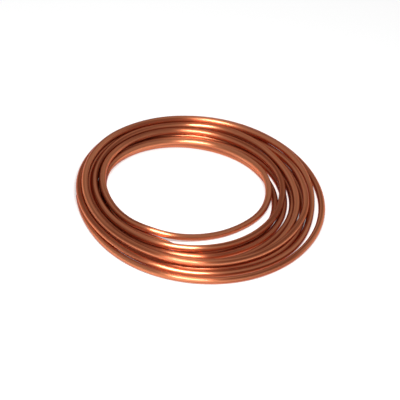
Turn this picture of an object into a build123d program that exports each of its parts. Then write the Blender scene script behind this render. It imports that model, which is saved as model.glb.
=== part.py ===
import os
from math import cos, radians, sin, sqrt

from build123d import *

# A coil of small soft copper tube, as it is sold for refrigeration and water lines.
# One length of tube is wound into a flat coil of about ten turns. Five turns are packed together,
# and the other five have sprung loose and lie over and beside them at a slant, so the coil is
# three layers high at the left and low and open at the right.
# Right is +X, the back is +Y, and the floor is Z = 0 under the middle of the outermost turn.

# The tube, whose round is drawn with six flats, so that a turn lies on the floor on one of them
tube_diameter = 6.35
tube_flats = 6

# The outermost turn, which goes round the middle of the coil
outer_turn_radius = 112.7

# The packed turns lie side by side on the floor, with one more in the valley over the outer two.
# In tube diameters: how far the largest falls short of the outermost turn's radius, where their
# middle is to the right and to the back, and from turn to turn
floor_turns = 4
packed_inset_share = 2.17
packed_right_share = -1.31
packed_back_share = 0.35
turn_pitch_share = 1.1

# The loose turns, from the outermost to the innermost. In tube diameters: how far the radius falls
# short of the outermost turn's, where the middle is to the right, to the back and above the middle
# of a turn on the floor, and how far the high side rises over the turn's middle
loose_turns_share = [
    (0.00, 0.00, 0.00, 0.27, 0.24),
    (0.79, -0.70, 0.24, 0.96, 0.93),
    (1.65, -0.86, 0.52, 1.01, 0.61),
    (4.41, -1.73, 1.06, 1.13, 0.26),
    (6.65, -2.37, 1.75, 0.60, 0.54),
]

# Where the high side of each loose turn is, in degrees from the right toward the back
loose_turns_high_side = [121, 141, 236, 170, 126]

tube_radius = tube_diameter / 2
floor_height = tube_radius
turn_pitch = turn_pitch_share * tube_diameter
layer_rise = sqrt(tube_diameter**2 - (turn_pitch / 2) ** 2)

packed_radius = outer_turn_radius - packed_inset_share * tube_diameter
packed_middle = Vector(packed_right_share, packed_back_share, 0) * tube_diameter
floor_places = [packed_radius - i * turn_pitch for i in range(floor_turns)]
valley_place = packed_radius - turn_pitch / 2
valley_height = floor_height + layer_rise

os.makedirs("parts", exist_ok=True)

with BuildPart() as coiled_tube:
    # The packed turns are turned about their own middle. The hollow between the upper turn and
    # the two under it is closed all round, so it is filled.
    with BuildSketch(Plane(origin=packed_middle, x_dir=(1, 0, 0), z_dir=(0, -1, 0))):
        with Locations(*[(place, floor_height) for place in floor_places]):
            RegularPolygon(tube_radius, tube_flats, major_radius=False)
        with Locations((valley_place, valley_height)):
            RegularPolygon(tube_radius, tube_flats, major_radius=False)
        with BuildLine():
            Polyline(
                (floor_places[0], floor_height),
                (floor_places[1], floor_height),
                (valley_place, valley_height),
                close=True,
            )
        make_face()
    revolve(axis=Axis(packed_middle, (0, 0, 1)))
    # Each loose turn is drawn on its high side, on a plane along its slope
    for shares, high_side in zip(loose_turns_share, loose_turns_high_side):
        inset, right, back, lift, climb = [share * tube_diameter for share in shares]
        turn_radius = outer_turn_radius - inset
        turn_middle = Vector(right, back, floor_height + lift)
        way_up = Vector(cos(radians(high_side)), sin(radians(high_side)), 0)
        slope = (way_up * turn_radius + Vector(0, 0, climb)).normalized()
        lean_line = Vector(0, 0, 1).cross(slope).normalized()
        with BuildSketch(Plane(origin=turn_middle, x_dir=slope, z_dir=-lean_line)):
            with Locations((turn_radius, 0)):
                RegularPolygon(tube_radius, tube_flats, major_radius=False)
        revolve(axis=Axis(turn_middle, slope.cross(lean_line)))

coiled_tube.part.label = "coiled_tube"
export_step(coiled_tube.part, "parts/coiled_tube.step")
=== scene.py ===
from math import cos, radians, sin

import bpy
import numpy as np
from mathutils import Matrix, Vector


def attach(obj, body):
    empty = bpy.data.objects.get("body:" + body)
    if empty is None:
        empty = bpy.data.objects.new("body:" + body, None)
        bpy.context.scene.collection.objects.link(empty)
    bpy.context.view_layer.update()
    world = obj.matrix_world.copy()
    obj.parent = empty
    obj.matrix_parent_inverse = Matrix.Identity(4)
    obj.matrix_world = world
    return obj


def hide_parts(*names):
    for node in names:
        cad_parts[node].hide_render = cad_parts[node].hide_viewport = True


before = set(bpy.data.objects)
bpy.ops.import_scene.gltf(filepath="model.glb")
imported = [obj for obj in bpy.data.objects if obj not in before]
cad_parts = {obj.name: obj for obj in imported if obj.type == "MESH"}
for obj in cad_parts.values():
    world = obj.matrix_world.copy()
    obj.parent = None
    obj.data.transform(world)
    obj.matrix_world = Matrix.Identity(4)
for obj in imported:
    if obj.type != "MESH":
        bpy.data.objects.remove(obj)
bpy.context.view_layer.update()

# The coil is one length of soft drawn copper tube, a little under six metres of it, as it comes
# off the roll it was wound on. Ten uneven turns lie on each other: two or three deep at the left,
# where they press together, and spread out at the right, where they have sprung apart.

tube_diameter = 0.00635
tube_wall = 0.00076
tube_sides = 20
tube_pixels = 6.85
pixel = tube_diameter / tube_pixels
# How far the middle of the tube stands from the middle of the coil, in pixels of the picture, in
# which the tube is tube_pixels across. Each row is one turn, from the inner end of the tube to its
# outer end, at every 30 degrees from the left of the coil by the back, the right and the front.
turn_reach_pixels = (
    (117.0, 114.0, 111.0, 107.5, 106.0, 104.2, 102.5, 104.5, 104.3, 105.3, 107.4, 110.0),
    (115.0, 113.5, 105.9, 98.9, 96.5, 94.3, 91.2, 88.6, 91.5, 96.8, 101.3, 105.8),
    (108.4, 106.6, 99.3, 91.9, 89.5, 86.0, 82.6, 81.0, 81.7, 86.3, 92.2, 99.0),
    (102.4, 102.2, 93.8, 84.7, 79.7, 75.8, 74.2, 73.8, 74.6, 80.0, 78.2, 91.4),
    (99.9, 97.0, 88.0, 81.5, 77.2, 73.0, 63.8, 54.7, 52.6, 57.9, 73.2, 90.6),
    (100.2, 102.2, 102.6, 97.8, 92.5, 86.8, 78.9, 75.2, 76.6, 82.0, 91.0, 102.0),
    (108.7, 110.7, 111.5, 109.3, 103.0, 96.0, 95.6, 95.3, 97.5, 100.5, 104.0, 108.5),
    (113.8, 114.5, 113.5, 114.4, 113.1, 107.0, 104.4, 101.7, 103.0, 107.2, 111.2, 115.5),
    (117.8, 117.2, 115.5, 115.6, 115.8, 114.5, 110.0, 111.3, 111.2, 112.7, 117.9, 121.0),
    (122.8, 122.3, 121.9, 121.7, 121.9, 122.0, 121.1, 120.0, 120.9, 122.4, 123.4, 121.4),
    (120.4, 118.0),
)
# How high each turn rides over the turns on the floor, in the same pixels and at the same places
turn_lift_pixels = (
    (0, 0, 0, 0, 0, 0, 0, 0, 0, 0, 0, 0),
    (0, 0, 0, 0, 0, 0, 0, 0, 0, 0, 0, 0),
    (0, 0, 0, 0, 0, 0, 0, 0, 0, 0, 0, 0),
    (0, 0, 0, 0, 0, 0, 0, 0, 0, 0, 0, 0.5),
    (5.0, 6.0, 6.5, 6.5, 6.3, 5.5, 1.5, 0, 0, 0.8, 3.3, 6.0),
    (11.0, 10.0, 7.0, 5.9, 5.7, 5.5, 5.3, 5.5, 6.0, 6.5, 7.0, 8.0),
    (8.6, 8.4, 7.6, 4.8, 4.3, 4.5, 5.7, 2.0, 3.0, 5.9, 5.9, 5.9),
    (5.9, 4.0, 1.0, 0, 1.0, 3.5, 5.0, 5.5, 7.5, 9.5, 11.0, 11.0),
    (11.8, 10.6, 8.4, 7.2, 5.5, 3.5, 0.5, 0, 0, 0, 3.0, 5.0),
    (5.5, 5.5, 5.0, 4.6, 2.8, 0.3, 0, 0, 0, 0, 0, 0),
    (0, 0),
)
# In degrees: a whole turn, where the rows start, how far apart the places in them are, where the
# tube starts and ends, and how far apart the points of its line are
whole_turn = 360
row_start = 180
reading_step = 30
tube_start = 271
tube_end = 3774
coil_step = 2

route_angles, route_reach, route_lift = [], [], []
for turn, (reach_row, lift_row) in enumerate(zip(turn_reach_pixels, turn_lift_pixels)):
    for reading, (reach, lift) in enumerate(zip(reach_row, lift_row)):
        route_angles.append(row_start + whole_turn * turn + reading_step * reading)
        route_reach.append(reach * pixel)
        route_lift.append(lift * pixel)


def smooth_through(angles, values, wanted):
    """The values of a natural cubic spline through evenly spaced readings."""
    step = angles[1] - angles[0]
    count = len(angles)
    values = np.array(values)
    matrix = np.zeros((count, count))
    target = np.zeros(count)
    matrix[0, 0] = matrix[-1, -1] = 1
    for i in range(1, count - 1):
        matrix[i, i - 1] = matrix[i, i + 1] = 1
        matrix[i, i] = 4
        target[i] = 6 * (values[i + 1] - 2 * values[i] + values[i - 1]) / step**2
    bend = np.linalg.solve(matrix, target)
    place = np.clip(((wanted - angles[0]) // step).astype(int), 0, count - 2)
    ahead = (wanted - angles[0]) / step - place
    behind = 1 - ahead
    return (
        behind * values[place]
        + ahead * values[place + 1]
        + ((behind**3 - behind) * bend[place] + (ahead**3 - ahead) * bend[place + 1]) * step**2 / 6
    )


def settle(drawn_reach, drawn_lift):
    """Let the turns sink and press on each other until they hardly overlap.

    Every turn is drawn back to its place, gently, and bends only in long waves, as stiff tube
    does. Turns that touch in the same half plane through the coil's middle push each other off.
    In the last rounds the pull back and the sinking fade, so that the pushes have the last word.
    """
    rounds = 1500
    last_rounds_share = 0.35
    draw_back_share = 0.05
    draw_back_up_share = 0.01
    sinking_share = 0.0004
    stiffness_share = 0.5
    push_share = 0.8
    spacing_share = 1.02
    sinking = sinking_share * tube_diameter
    spacing = spacing_share * tube_diameter
    wave = np.array((1, 4, 6, 4, 1)) / 16
    around = whole_turn // coil_step
    count = len(drawn_reach)
    reach, lift = drawn_reach.copy(), drawn_lift.copy()
    for done in range(rounds):
        ease = min(1, (rounds - done) / (last_rounds_share * rounds))
        reach += draw_back_share * ease * (drawn_reach - reach)
        lift += ease * (draw_back_up_share * (drawn_lift - lift) - sinking)
        for moved, drawn in ((reach, drawn_reach), (lift, drawn_lift)):
            strayed = moved - drawn
            evened = np.convolve(np.pad(strayed, len(wave) // 2, mode="edge"), wave, mode="valid")
            moved += stiffness_share * (evened - strayed)
        lift = np.maximum(lift, 0)
        slope = np.gradient(reach, radians(coil_step)) / reach
        reach_push, lift_push = np.zeros(count), np.zeros(count)
        for turns_apart in range(1, count // around + 1):
            inner = np.arange(count - turns_apart * around)
            outer = inner + turns_apart * around
            squareness = 1 / np.sqrt(1 + ((slope[inner] + slope[outer]) / 2) ** 2)
            across = (reach[outer] - reach[inner]) * squareness
            up = lift[outer] - lift[inner]
            distance = np.hypot(across, up)
            overlap = np.maximum(spacing - distance, 0) / 2
            reach_push[inner] -= overlap * across / distance
            lift_push[inner] -= overlap * up / distance
            reach_push[outer] += overlap * across / distance
            lift_push[outer] += overlap * up / distance
        reach += push_share * reach_push
        lift = np.maximum(lift + push_share * lift_push, 0)
    return reach, lift


coil_angles = np.arange(tube_start, tube_end + coil_step / 2, coil_step)
coil_reach, coil_lift = settle(
    smooth_through(route_angles, route_reach, coil_angles),
    np.maximum(smooth_through(route_angles, route_lift, coil_angles), 0),
)
coil_turn = np.radians(coil_angles)
coil_line = bpy.data.meshes.new("coil_line")
coil_line.from_pydata(
    list(zip(
        coil_reach * np.cos(coil_turn),
        -coil_reach * np.sin(coil_turn),
        coil_lift + tube_diameter / 2,
    )),
    [(i, i + 1) for i in range(len(coil_angles) - 1)],
    [],
)


def add_node(tree, kind, settings=None, **inputs):
    """Add a node to a tree, with its settings, and its inputs set to values or linked."""
    node = tree.nodes.new(kind)
    for name, value in (settings or {}).items():
        setattr(node, name, value)
    for name, value in inputs.items():
        socket = node.inputs[name.replace("_", " ")]
        if isinstance(value, bpy.types.NodeSocket):
            tree.links.new(value, socket)
        else:
            socket.default_value = value
    return node


def socket_known_as(sockets, identifier):
    """The socket with this identifier, where several sockets of a node share one name."""
    return next(socket for socket in sockets if socket.identifier == identifier)


# Bright drawn copper that has lain open to the air: the colour of the bare metal, a browner skin
# of tarnish over it in long patches, fine marks along the tube from the drawing die, and a thin
# clear film of drawing oil. The marks draw each highlight out across the tube.

bare_copper = (0.86, 0.29, 0.135, 1)
tarnished_copper = (0.44, 0.105, 0.04, 1)
edge_tint = (0.35, 0.1, 0.05, 1)
# How often the pattern changes in a metre: along the tube, and twice across it
marks_per_metre = (40, 900, 900)
patches_per_metre = (8, 420, 420)
marks_detail = 4.0
patches_detail = 3.0
mark_depth = 0.0002
mark_strength = 0.3
bare_below, tarnished_above = 0.4, 0.62
bare_roughness, tarnished_roughness = 0.28, 0.38
mark_sheen = 0.88
across_the_tube = 0.25
oil_share = 0.4
oil_roughness = 0.12

copper = bpy.data.materials.new("drawn_copper")
copper.use_nodes = True
tree = copper.node_tree
tree.nodes.clear()
straight = add_node(tree, "ShaderNodeAttribute", {"attribute_name": "straight"}).outputs["Vector"]
long_marks = add_node(tree, "ShaderNodeMapping", Vector=straight, Scale=marks_per_metre)
marks = add_node(
    tree, "ShaderNodeTexNoise", Vector=long_marks.outputs["Vector"], Scale=1.0,
    Detail=marks_detail,
)
long_patches = add_node(tree, "ShaderNodeMapping", Vector=straight, Scale=patches_per_metre)
patches = add_node(
    tree, "ShaderNodeTexNoise", Vector=long_patches.outputs["Vector"], Scale=1.0,
    Detail=patches_detail,
)
tarnish = add_node(
    tree, "ShaderNodeMapRange", Value=patches.outputs[0], From_Min=bare_below,
    From_Max=tarnished_above,
)
colour = add_node(
    tree, "ShaderNodeMix", {"data_type": "RGBA"}, Factor=tarnish.outputs["Result"]
)
socket_known_as(colour.inputs, "A_Color").default_value = bare_copper
socket_known_as(colour.inputs, "B_Color").default_value = tarnished_copper
roughness = add_node(
    tree, "ShaderNodeMapRange", Value=tarnish.outputs["Result"], To_Min=bare_roughness,
    To_Max=tarnished_roughness,
)
relief = add_node(
    tree, "ShaderNodeBump", Height=marks.outputs[0], Strength=mark_strength, Distance=mark_depth
)
tube_way = add_node(tree, "ShaderNodeAttribute", {"attribute_name": "tube_way"}).outputs["Vector"]
metal = add_node(
    tree, "ShaderNodeBsdfPrincipled", Metallic=1.0,
    Base_Color=socket_known_as(colour.outputs, "Result_Color"),
    Roughness=roughness.outputs["Result"], Normal=relief.outputs["Normal"], Tangent=tube_way,
    Anisotropic=mark_sheen, Anisotropic_Rotation=across_the_tube, Specular_Tint=edge_tint,
    Coat_Weight=oil_share, Coat_Roughness=oil_roughness,
)
add_node(tree, "ShaderNodeOutputMaterial", Surface=metal.outputs["BSDF"])


def drawn_tube_tree():
    """The nodes that draw the tube along the line of the coil, with its wall and its bore."""
    merge_distance = 0.000005
    round_below = 0.8
    tree = bpy.data.node_groups.new("drawn_tube", "GeometryNodeTree")
    sockets = tree.interface
    sockets.new_socket("Line", in_out="INPUT", socket_type="NodeSocketGeometry")
    sockets.new_socket("Diameter", in_out="INPUT", socket_type="NodeSocketFloat")
    sockets.new_socket("Wall", in_out="INPUT", socket_type="NodeSocketFloat")
    sockets.new_socket("Sides", in_out="INPUT", socket_type="NodeSocketInt")
    sockets.new_socket("Copper", in_out="INPUT", socket_type="NodeSocketMaterial")
    sockets.new_socket("Tube", in_out="OUTPUT", socket_type="NodeSocketGeometry")
    given = tree.nodes.new("NodeGroupInput").outputs

    line = add_node(tree, "GeometryNodeMeshToCurve", Mesh=given["Line"])
    line = add_node(
        tree, "GeometryNodeSetCurveNormal", {"mode": "Z_UP"}, Curve=line.outputs["Curve"]
    )
    length = add_node(tree, "GeometryNodeSplineParameter")
    along = tree.nodes.new("GeometryNodeCaptureAttribute")
    along.capture_items.new("FLOAT", "Along")
    along.capture_items.new("VECTOR", "Way")
    way = add_node(tree, "GeometryNodeInputTangent")
    tree.links.new(line.outputs["Curve"], along.inputs["Geometry"])
    tree.links.new(length.outputs["Length"], along.inputs["Along"])
    tree.links.new(way.outputs["Tangent"], along.inputs["Way"])

    radius = add_node(tree, "ShaderNodeMath", {"operation": "MULTIPLY"})
    tree.links.new(given["Diameter"], radius.inputs[0])
    radius.inputs[1].default_value = 0.5
    section = add_node(
        tree, "GeometryNodeCurvePrimitiveCircle", Resolution=given["Sides"],
        Radius=radius.outputs["Value"],
    )
    place = add_node(tree, "GeometryNodeInputPosition")
    across = tree.nodes.new("GeometryNodeCaptureAttribute")
    across.capture_items.new("VECTOR", "Across")
    tree.links.new(section.outputs["Curve"], across.inputs["Geometry"])
    tree.links.new(place.outputs["Position"], across.inputs["Across"])

    # The tube as if it were pulled straight is stored for the marks that follow its length, and
    # its way at each point for the highlights
    outside = add_node(
        tree, "GeometryNodeCurveToMesh", Curve=along.outputs["Geometry"],
        Profile_Curve=across.outputs["Geometry"],
    )
    parts = add_node(tree, "ShaderNodeSeparateXYZ", Vector=across.outputs["Across"])
    straight = add_node(
        tree, "ShaderNodeCombineXYZ", X=along.outputs["Along"], Y=parts.outputs["X"],
        Z=parts.outputs["Y"],
    )
    outside = add_node(
        tree, "GeometryNodeStoreNamedAttribute", {"data_type": "FLOAT_VECTOR", "domain": "POINT"},
        Geometry=outside.outputs["Mesh"], Name="straight", Value=straight.outputs["Vector"],
    )
    outside = add_node(
        tree, "GeometryNodeStoreNamedAttribute", {"data_type": "FLOAT_VECTOR", "domain": "POINT"},
        Geometry=outside.outputs["Geometry"], Name="tube_way", Value=along.outputs["Way"],
    )

    # The bore is the outside moved in by the wall and turned over, and the two are joined at
    # the sawn ends, whose edges stay sharp
    inward = add_node(tree, "ShaderNodeMath", {"operation": "MULTIPLY"})
    tree.links.new(given["Wall"], inward.inputs[0])
    inward.inputs[1].default_value = -1
    inside = add_node(
        tree, "GeometryNodeExtrudeMesh", {"mode": "FACES"}, Mesh=outside.outputs["Geometry"],
        Offset_Scale=inward.outputs["Value"], Individual=False,
    )
    inside = add_node(tree, "GeometryNodeFlipFaces", Mesh=inside.outputs["Mesh"])
    both = tree.nodes.new("GeometryNodeJoinGeometry")
    tree.links.new(inside.outputs["Mesh"], both.inputs["Geometry"])
    tree.links.new(outside.outputs["Geometry"], both.inputs["Geometry"])
    closed = add_node(
        tree, "GeometryNodeMergeByDistance", Geometry=both.outputs["Geometry"],
        Distance=merge_distance,
    )
    angle = add_node(tree, "GeometryNodeInputMeshEdgeAngle")
    rounded = add_node(
        tree, "FunctionNodeCompare", {"operation": "LESS_THAN"}, A=angle.outputs["Unsigned Angle"],
        B=round_below,
    )
    shaded = add_node(
        tree, "GeometryNodeSetShadeSmooth", {"domain": "EDGE"}, Geometry=closed.outputs["Geometry"],
        Shade_Smooth=rounded.outputs["Result"],
    )
    real = add_node(tree, "GeometryNodeRealizeInstances", Geometry=shaded.outputs["Geometry"])
    finished = add_node(
        tree, "GeometryNodeSetMaterial", Geometry=real.outputs["Geometry"], Material=given["Copper"]
    )
    done = tree.nodes.new("NodeGroupOutput")
    tree.links.new(finished.outputs["Geometry"], done.inputs["Tube"])
    return tree


tube_line = bpy.data.objects.new("coil_line", coil_line)
bpy.context.scene.collection.objects.link(tube_line)
drawing = tube_line.modifiers.new("drawn_tube", "NODES")
drawing.node_group = drawn_tube_tree()
drawing_sizes = {
    "Diameter": tube_diameter, "Wall": tube_wall, "Sides": tube_sides, "Copper": copper,
}
for socket in drawing.node_group.interface.items_tree:
    if socket.name in drawing_sizes:
        drawing[socket.identifier] = drawing_sizes[socket.name]
bpy.context.view_layer.update()
tube_mesh = bpy.data.meshes.new_from_object(
    tube_line.evaluated_get(bpy.context.evaluated_depsgraph_get())
)
tube_mesh.name = "tube_coil"
bpy.data.objects.remove(tube_line)
tube_coil = bpy.data.objects.new("tube_coil", tube_mesh)
bpy.context.scene.collection.objects.link(tube_coil)
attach(tube_coil, "root")
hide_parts("coiled_tube")


# A plain pale floor of matt board under the coil. It looks white to the camera and in the metal,
# and it keeps the coil's soft shadow.

floor_half = 3.0
floor_colour = 0.72
floor_glow = 0.36

floor_mesh = bpy.data.meshes.new("floor")
floor_mesh.from_pydata(
    [(x * floor_half, y * floor_half, 0) for x, y in ((-1, -1), (1, -1), (1, 1), (-1, 1))],
    [],
    [(0, 1, 2, 3)],
)
floor = bpy.data.objects.new("floor", floor_mesh)
bpy.context.scene.collection.objects.link(floor)


def seen_or_mirrored(tree):
    """One for rays from the camera and for those that a surface mirrors or lets through."""
    rays = tree.nodes.new("ShaderNodeLightPath").outputs
    seen = rays["Is Camera Ray"]
    for name in ("Is Glossy Ray", "Is Transmission Ray"):
        either = add_node(tree, "ShaderNodeMath", {"operation": "MAXIMUM"})
        tree.links.new(seen, either.inputs[0])
        tree.links.new(rays[name], either.inputs[1])
        seen = either.outputs["Value"]
    return seen


board = bpy.data.materials.new("white_floor")
board.use_nodes = True
tree = board.node_tree
tree.nodes.clear()
matt = add_node(tree, "ShaderNodeBsdfDiffuse", Color=(floor_colour, floor_colour, floor_colour, 1))
glow_strength = add_node(tree, "ShaderNodeMath", {"operation": "MULTIPLY"})
tree.links.new(seen_or_mirrored(tree), glow_strength.inputs[0])
glow_strength.inputs[1].default_value = floor_glow
glow = add_node(tree, "ShaderNodeEmission", Strength=glow_strength.outputs["Value"])
added = tree.nodes.new("ShaderNodeAddShader")
tree.links.new(matt.outputs["BSDF"], added.inputs[0])
tree.links.new(glow.outputs["Emission"], added.inputs[1])
add_node(tree, "ShaderNodeOutputMaterial", Surface=added.outputs["Shader"])
floor_mesh.materials.append(board)


# Soft studio light: an even grey room, which shows white walls and a grey ceiling where the metal
# mirrors it, and one lamp in front of the coil and high over it, whose light crosses all the turns

room_light = 0.35
wall_light = 1.0
ceiling_light = 0.36
# The sine of the angle above the level at which the walls start to darken, and of that at which
# the ceiling is reached
wall_rise, ceiling_rise = 0.05, 0.25
lamp_place = Vector((0.02, -0.6, 1.0))
lamp_width, lamp_depth = 0.42, 0.2
lamp_watts = 13.0

room = bpy.data.worlds.new("room")
bpy.context.scene.world = room
room.use_nodes = True
tree = room.node_tree
tree.nodes.clear()
direction = tree.nodes.new("ShaderNodeTexCoord").outputs["Generated"]
height = add_node(tree, "ShaderNodeSeparateXYZ", Vector=direction).outputs["Z"]
room_shown = add_node(
    tree, "ShaderNodeMapRange", Value=height, From_Min=wall_rise, From_Max=ceiling_rise,
    To_Min=wall_light, To_Max=ceiling_light,
)
brightness = add_node(
    tree, "ShaderNodeMix", A=room_light, B=room_shown.outputs["Result"],
    Factor=seen_or_mirrored(tree),
)
air = add_node(
    tree, "ShaderNodeBackground", Color=(1, 1, 1, 1), Strength=brightness.outputs["Result"]
)
add_node(tree, "ShaderNodeOutputWorld", Surface=air.outputs["Background"])

front_light = bpy.data.lights.new("front_lamp", "AREA")
front_light.shape = "RECTANGLE"
front_light.size = lamp_width
front_light.size_y = lamp_depth
front_light.energy = lamp_watts
front_lamp = bpy.data.objects.new("front_lamp", front_light)
front_lamp.location = lamp_place
front_lamp.rotation_euler = (-lamp_place).to_track_quat("-Z", "Y").to_euler()
bpy.context.scene.collection.objects.link(front_lamp)


# The camera looks down at the coil from the front at forty degrees, through a long lens, so that
# near and far turns look alike. It is rolled a little to one side.

camera_height_angle = radians(40)
camera_roll = radians(7)
picture_size = 400
middle_pixel = (201, 201)
lens = 1200
sensor = 36
sight_end = 100
distance = picture_size * pixel * lens / sensor

view = bpy.data.cameras.new("camera")
view.lens = lens
view.sensor_width = sensor
view.clip_end = sight_end
view.shift_x = (picture_size / 2 - middle_pixel[0]) / picture_size
view.shift_y = (middle_pixel[1] - picture_size / 2) / picture_size
camera = bpy.data.objects.new("camera", view)
bpy.context.scene.collection.objects.link(camera)
aim = Vector((0, 0, tube_diameter / 2))
away = Vector((0, -cos(camera_height_angle), sin(camera_height_angle)))
right = Vector((1, 0, 0))
above = away.cross(right)
turned = Matrix((right, above, away)).transposed().to_4x4() @ Matrix.Rotation(camera_roll, 4, "Z")
camera.matrix_world = Matrix.Translation(aim + away * distance) @ turned
bpy.context.scene.camera = camera
bpy.context.scene.view_settings.view_transform = "Standard"
